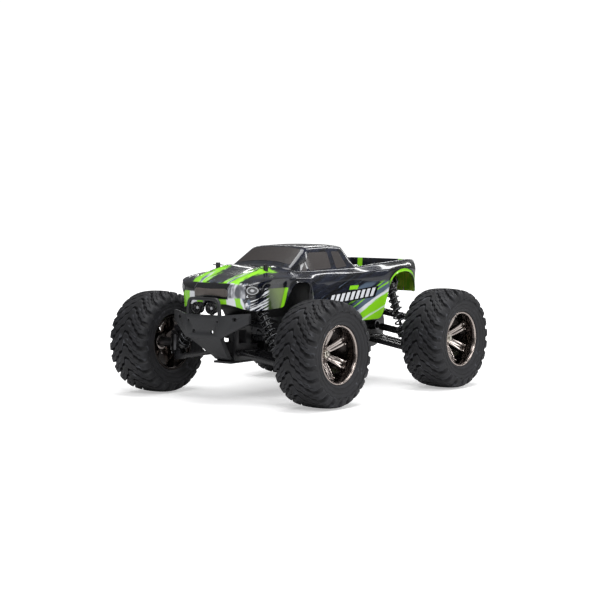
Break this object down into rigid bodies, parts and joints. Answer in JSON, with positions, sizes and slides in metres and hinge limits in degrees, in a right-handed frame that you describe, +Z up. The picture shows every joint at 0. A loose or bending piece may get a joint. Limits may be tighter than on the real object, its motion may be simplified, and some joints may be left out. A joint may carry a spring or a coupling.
{
  "type": "remote control monster truck",
  "caption": "Remote-control monster truck: pickup shell on a low chassis with wide lugged tyres, wishbone suspension with coil shocks, linked steering and rear drive.",
  "frame": {"origin": "on the ground below the middle of the truck, at the centre of its bounding box's bottom", "axes": "-Y is the front of the truck, +X its left side, +Z up"},
  "size_m": [0.285, 0.343, 0.1636],
  "materials": {
    "shell_paint": "gloss polycarbonate painted black with green, white and blue-grey streaks",
    "black_plastic": "satin moulded nylon",
    "arm_plastic": "satin moulded nylon",
    "bumper_plastic": "matte charcoal plastic",
    "lamp_housing": "dark lens in a black ring",
    "steel": "satin steel",
    "clip_wire": "bright wire",
    "motor_can": "satin can",
    "servo_plastic": "satin",
    "battery_wrap": "shrink wrap",
    "brass_gear": "machined",
    "gear_nylon": "moulded",
    "switch_plastic": "moulded",
    "knuckle_metal": "dark satin",
    "shock_black": "semi-gloss black",
    "spring_wire": "dark painted spring wire",
    "tyre_rubber": "matte rubber",
    "rim_chrome": "gunmetal chrome",
    "window_film": "dark tinted window film",
    "headlight": "moulded lamp",
    "nut_nickel": "nickel plate"
  },
  "bodies": {
    "chassis": {"chassis_tub": "black_plastic", "front_bulkhead": "black_plastic", "front_shock_tower": "black_plastic", "rear_gearbox_case": "black_plastic", "rear_shock_tower": "black_plastic", "body_shell": "shell_paint", "body_clips": "clip_wire", "front_bumper": "bumper_plastic", "bumper_lamps": "lamp_housing", "hinge_pins": "steel", "drive_motor": "motor_can", "steering_servo": "servo_plastic", "battery_pack": "battery_wrap", "receiver_box": "servo_plastic"},
    "pinion": {"motor_pinion": "brass_gear"},
    "differential": {"spur_gear": "gear_nylon", "differential": "steel"},
    "steering_horn": {"steering_horn": "arm_plastic"},
    "steering_link": {"steering_link": "arm_plastic"},
    "power_switch": {"power_switch": "switch_plastic"},
    "front_left_lower_arm": {"front_left_lower_arm": "arm_plastic"},
    "front_left_upper_arm": {"front_left_upper_arm": "arm_plastic"},
    "front_left_hub_carrier": {"front_left_hub_carrier": "arm_plastic"},
    "front_left_shock_body": {"front_left_shock_body": "shock_black", "front_left_spring": "spring_wire"},
    "front_left_shock_rod": {"front_left_shock_rod": "steel"},
    "front_left_knuckle": {"front_left_knuckle": "knuckle_metal"},
    "front_left_wheel": {"front_left_tyre": "tyre_rubber", "front_left_rim": "rim_chrome"},
    "front_left_tie_rod": {"front_left_tie_rod": "steel"},
    "front_right_lower_arm": {"front_right_lower_arm": "arm_plastic"},
    "front_right_upper_arm": {"front_right_upper_arm": "arm_plastic"},
    "front_right_hub_carrier": {"front_right_hub_carrier": "arm_plastic"},
    "front_right_shock_body": {"front_right_shock_body": "shock_black", "front_right_spring": "spring_wire"},
    "front_right_shock_rod": {"front_right_shock_rod": "steel"},
    "front_right_knuckle": {"front_right_knuckle": "knuckle_metal"},
    "front_right_wheel": {"front_right_tyre": "tyre_rubber", "front_right_rim": "rim_chrome"},
    "front_right_tie_rod": {"front_right_tie_rod": "steel"},
    "rear_left_lower_arm": {"rear_left_lower_arm": "arm_plastic"},
    "rear_left_upper_arm": {"rear_left_upper_arm": "arm_plastic"},
    "rear_left_upright": {"rear_left_upright": "arm_plastic"},
    "rear_left_shock_body": {"rear_left_shock_body": "shock_black", "rear_left_spring": "spring_wire"},
    "rear_left_shock_rod": {"rear_left_shock_rod": "steel"},
    "rear_left_wheel": {"rear_left_axle": "steel", "rear_left_tyre": "tyre_rubber", "rear_left_rim": "rim_chrome"},
    "rear_left_half_shaft": {"rear_left_half_shaft": "steel"},
    "rear_right_lower_arm": {"rear_right_lower_arm": "arm_plastic"},
    "rear_right_upper_arm": {"rear_right_upper_arm": "arm_plastic"},
    "rear_right_upright": {"rear_right_upright": "arm_plastic"},
    "rear_right_shock_body": {"rear_right_shock_body": "shock_black", "rear_right_spring": "spring_wire"},
    "rear_right_shock_rod": {"rear_right_shock_rod": "steel"},
    "rear_right_wheel": {"rear_right_axle": "steel", "rear_right_tyre": "tyre_rubber", "rear_right_rim": "rim_chrome"},
    "rear_right_half_shaft": {"rear_right_half_shaft": "steel"}
  },
  "joints": [
    {"name": "front_left_suspension", "type": "hinge", "parent": "chassis", "child": "front_left_lower_arm", "pos_m": [0.016, -0.115, 0.052], "axis": [0, -1, 0], "range_deg": [-8, 10], "stiffness_Nm_per_rad": 1.5, "springref_deg": -4.3},
    {"name": "front_left_upper_arm_hinge", "type": "hinge", "parent": "chassis", "child": "front_left_upper_arm", "pos_m": [0.016, -0.115, 0.084], "axis": [0, -1, 0], "range_deg": [-8, 10]},
    {"name": "front_left_hub_carrier_hinge", "type": "hinge", "parent": "front_left_lower_arm", "child": "front_left_hub_carrier", "pos_m": [0.08, -0.115, 0.042], "axis": [0, -1, 0], "range_deg": [-10, 8]},
    {"name": "front_left_shock_swing", "type": "hinge", "parent": "chassis", "child": "front_left_shock_body", "pos_m": [0.037, -0.128, 0.112], "axis": [0, -1, 0], "range_deg": [-3.12, 3.89]},
    {"name": "front_left_shock_stroke", "type": "slide", "parent": "front_left_shock_body", "child": "front_left_shock_rod", "axis": [0.4698, 0, -0.8827], "range_m": [-0.0083, 0.00666], "deforming": ["front_left_spring"]},
    {"name": "steering", "type": "hinge", "parent": "front_left_hub_carrier", "child": "front_left_knuckle", "pos_m": [0.089, -0.115, 0.0565], "axis": [0, 0, 1], "range_deg": [-24, 24]},
    {"name": "front_left_wheel_spin", "type": "hinge", "parent": "front_left_knuckle", "child": "front_left_wheel", "pos_m": [0.1155, -0.115, 0.0565], "axis": [1, 0, 0], "continuous": true},
    {"name": "front_left_tie_rod_hinge", "type": "hinge", "parent": "steering_link", "child": "front_left_tie_rod", "pos_m": [0.025, -0.101, 0.067], "axis": [0, -1, 0], "range_deg": [-8, 10]},
    {"name": "front_right_suspension", "type": "hinge", "parent": "chassis", "child": "front_right_lower_arm", "pos_m": [-0.016, -0.115, 0.052], "axis": [0, 1, 0], "range_deg": [-8, 10], "stiffness_Nm_per_rad": 1.5, "springref_deg": -4.3},
    {"name": "front_right_upper_arm_hinge", "type": "hinge", "parent": "chassis", "child": "front_right_upper_arm", "pos_m": [-0.016, -0.115, 0.084], "axis": [0, 1, 0], "range_deg": [-8, 10]},
    {"name": "front_right_hub_carrier_hinge", "type": "hinge", "parent": "front_right_lower_arm", "child": "front_right_hub_carrier", "pos_m": [-0.08, -0.115, 0.042], "axis": [0, 1, 0], "range_deg": [-10, 8]},
    {"name": "front_right_shock_swing", "type": "hinge", "parent": "chassis", "child": "front_right_shock_body", "pos_m": [-0.037, -0.128, 0.112], "axis": [0, 1, 0], "range_deg": [-3.12, 3.89]},
    {"name": "front_right_shock_stroke", "type": "slide", "parent": "front_right_shock_body", "child": "front_right_shock_rod", "axis": [-0.4698, 0, -0.8827], "range_m": [-0.0083, 0.00666], "deforming": ["front_right_spring"]},
    {"name": "right_steering", "type": "hinge", "parent": "front_right_hub_carrier", "child": "front_right_knuckle", "pos_m": [-0.089, -0.115, 0.0565], "axis": [0, 0, 1], "range_deg": [-24, 24]},
    {"name": "front_right_wheel_spin", "type": "hinge", "parent": "front_right_knuckle", "child": "front_right_wheel", "pos_m": [-0.1155, -0.115, 0.0565], "axis": [1, 0, 0], "continuous": true},
    {"name": "front_right_tie_rod_hinge", "type": "hinge", "parent": "steering_link", "child": "front_right_tie_rod", "pos_m": [-0.025, -0.101, 0.067], "axis": [0, 1, 0], "range_deg": [-8, 10]},
    {"name": "rear_left_suspension", "type": "hinge", "parent": "chassis", "child": "rear_left_lower_arm", "pos_m": [0.016, 0.115, 0.052], "axis": [0, -1, 0], "range_deg": [-8, 10], "stiffness_Nm_per_rad": 1.5, "springref_deg": -4.87},
    {"name": "rear_left_upper_arm_hinge", "type": "hinge", "parent": "chassis", "child": "rear_left_upper_arm", "pos_m": [0.016, 0.115, 0.084], "axis": [0, -1, 0], "range_deg": [-8, 10]},
    {"name": "rear_left_upright_hinge", "type": "hinge", "parent": "rear_left_lower_arm", "child": "rear_left_upright", "pos_m": [0.08, 0.115, 0.042], "axis": [0, -1, 0], "range_deg": [-10, 8]},
    {"name": "rear_left_shock_swing", "type": "hinge", "parent": "chassis", "child": "rear_left_shock_body", "pos_m": [0.046, 0.102, 0.12], "axis": [0, -1, 0], "range_deg": [-2.1, 2.61]},
    {"name": "rear_left_shock_stroke", "type": "slide", "parent": "rear_left_shock_body", "child": "rear_left_shock_rod", "axis": [0.3243, 0, -0.9459], "range_m": [-0.00893, 0.00717], "deforming": ["rear_left_spring"]},
    {"name": "rear_left_wheel_spin", "type": "hinge", "parent": "rear_left_upright", "child": "rear_left_wheel", "pos_m": [0.1155, 0.115, 0.0565], "axis": [1, 0, 0], "continuous": true},
    {"name": "rear_left_half_shaft_swing", "type": "hinge", "parent": "chassis", "child": "rear_left_half_shaft", "pos_m": [0.016, 0.115, 0.0665], "axis": [0, -1, 0], "range_deg": [-8, 10]},
    {"name": "rear_right_suspension", "type": "hinge", "parent": "chassis", "child": "rear_right_lower_arm", "pos_m": [-0.016, 0.115, 0.052], "axis": [0, 1, 0], "range_deg": [-8, 10], "stiffness_Nm_per_rad": 1.5, "springref_deg": -4.87},
    {"name": "rear_right_upper_arm_hinge", "type": "hinge", "parent": "chassis", "child": "rear_right_upper_arm", "pos_m": [-0.016, 0.115, 0.084], "axis": [0, 1, 0], "range_deg": [-8, 10]},
    {"name": "rear_right_upright_hinge", "type": "hinge", "parent": "rear_right_lower_arm", "child": "rear_right_upright", "pos_m": [-0.08, 0.115, 0.042], "axis": [0, 1, 0], "range_deg": [-10, 8]},
    {"name": "rear_right_shock_swing", "type": "hinge", "parent": "chassis", "child": "rear_right_shock_body", "pos_m": [-0.046, 0.102, 0.12], "axis": [0, 1, 0], "range_deg": [-2.1, 2.61]},
    {"name": "rear_right_shock_stroke", "type": "slide", "parent": "rear_right_shock_body", "child": "rear_right_shock_rod", "axis": [-0.3243, 0, -0.9459], "range_m": [-0.00893, 0.00717], "deforming": ["rear_right_spring"]},
    {"name": "rear_right_wheel_spin", "type": "hinge", "parent": "rear_right_upright", "child": "rear_right_wheel", "pos_m": [-0.1155, 0.115, 0.0565], "axis": [1, 0, 0], "continuous": true},
    {"name": "rear_right_half_shaft_swing", "type": "hinge", "parent": "chassis", "child": "rear_right_half_shaft", "pos_m": [-0.016, 0.115, 0.0665], "axis": [0, 1, 0], "range_deg": [-8, 10]},
    {"name": "steering_link_slide", "type": "slide", "parent": "chassis", "child": "steering_link", "axis": [1, 0, 0], "range_m": [-0.0059, 0.0059]},
    {"name": "steering_horn_turn", "type": "hinge", "parent": "chassis", "child": "steering_horn", "pos_m": [0, -0.0945, 0.055], "axis": [0, 1, 0], "range_deg": [-29, 29]},
    {"name": "differential_spin", "type": "hinge", "parent": "chassis", "child": "differential", "pos_m": [0, 0.115, 0.0665], "axis": [1, 0, 0], "continuous": true},
    {"name": "pinion_spin", "type": "hinge", "parent": "chassis", "child": "pinion", "pos_m": [0, 0.08599, 0.0606], "axis": [1, 0, 0], "continuous": true},
    {"name": "power_switch_slide", "type": "slide", "parent": "chassis", "child": "power_switch", "axis": [0, 1, 0], "range_m": [0, 0.004]}
  ],
  "couplings": [
    {"joint": "front_left_upper_arm_hinge", "follows": "front_left_suspension", "ratio": 1},
    {"joint": "front_left_hub_carrier_hinge", "follows": "front_left_suspension", "ratio": -1},
    {"joint": "front_left_shock_swing", "follows": "front_left_suspension", "ratio": 0.384},
    {"joint": "front_left_shock_stroke", "follows": "front_left_suspension", "m_per_rad": -0.047},
    {"joint": "front_left_tie_rod_hinge", "follows": "front_left_suspension", "ratio": 1},
    {"joint": "front_right_upper_arm_hinge", "follows": "front_right_suspension", "ratio": 1},
    {"joint": "front_right_hub_carrier_hinge", "follows": "front_right_suspension", "ratio": -1},
    {"joint": "front_right_shock_swing", "follows": "front_right_suspension", "ratio": 0.384},
    {"joint": "front_right_shock_stroke", "follows": "front_right_suspension", "m_per_rad": -0.047},
    {"joint": "front_right_tie_rod_hinge", "follows": "front_right_suspension", "ratio": 1},
    {"joint": "rear_left_upper_arm_hinge", "follows": "rear_left_suspension", "ratio": 1},
    {"joint": "rear_left_upright_hinge", "follows": "rear_left_suspension", "ratio": -1},
    {"joint": "rear_left_shock_swing", "follows": "rear_left_suspension", "ratio": 0.256},
    {"joint": "rear_left_shock_stroke", "follows": "rear_left_suspension", "m_per_rad": -0.0506},
    {"joint": "rear_left_half_shaft_swing", "follows": "rear_left_suspension", "ratio": 1},
    {"joint": "rear_right_upper_arm_hinge", "follows": "rear_right_suspension", "ratio": 1},
    {"joint": "rear_right_upright_hinge", "follows": "rear_right_suspension", "ratio": -1},
    {"joint": "rear_right_shock_swing", "follows": "rear_right_suspension", "ratio": 0.256},
    {"joint": "rear_right_shock_stroke", "follows": "rear_right_suspension", "m_per_rad": -0.0506},
    {"joint": "rear_right_half_shaft_swing", "follows": "rear_right_suspension", "ratio": 1},
    {"joint": "right_steering", "follows": "steering", "ratio": 1},
    {"joint": "steering_link_slide", "follows": "steering", "m_per_rad": -0.01379},
    {"joint": "steering_horn_turn", "follows": "steering", "ratio": -1.18},
    {"joint": "rear_right_wheel_spin", "follows": "rear_left_wheel_spin", "ratio": 1},
    {"joint": "differential_spin", "follows": "rear_left_wheel_spin", "ratio": 1},
    {"joint": "pinion_spin", "follows": "rear_left_wheel_spin", "ratio": -3.625}
  ]
}
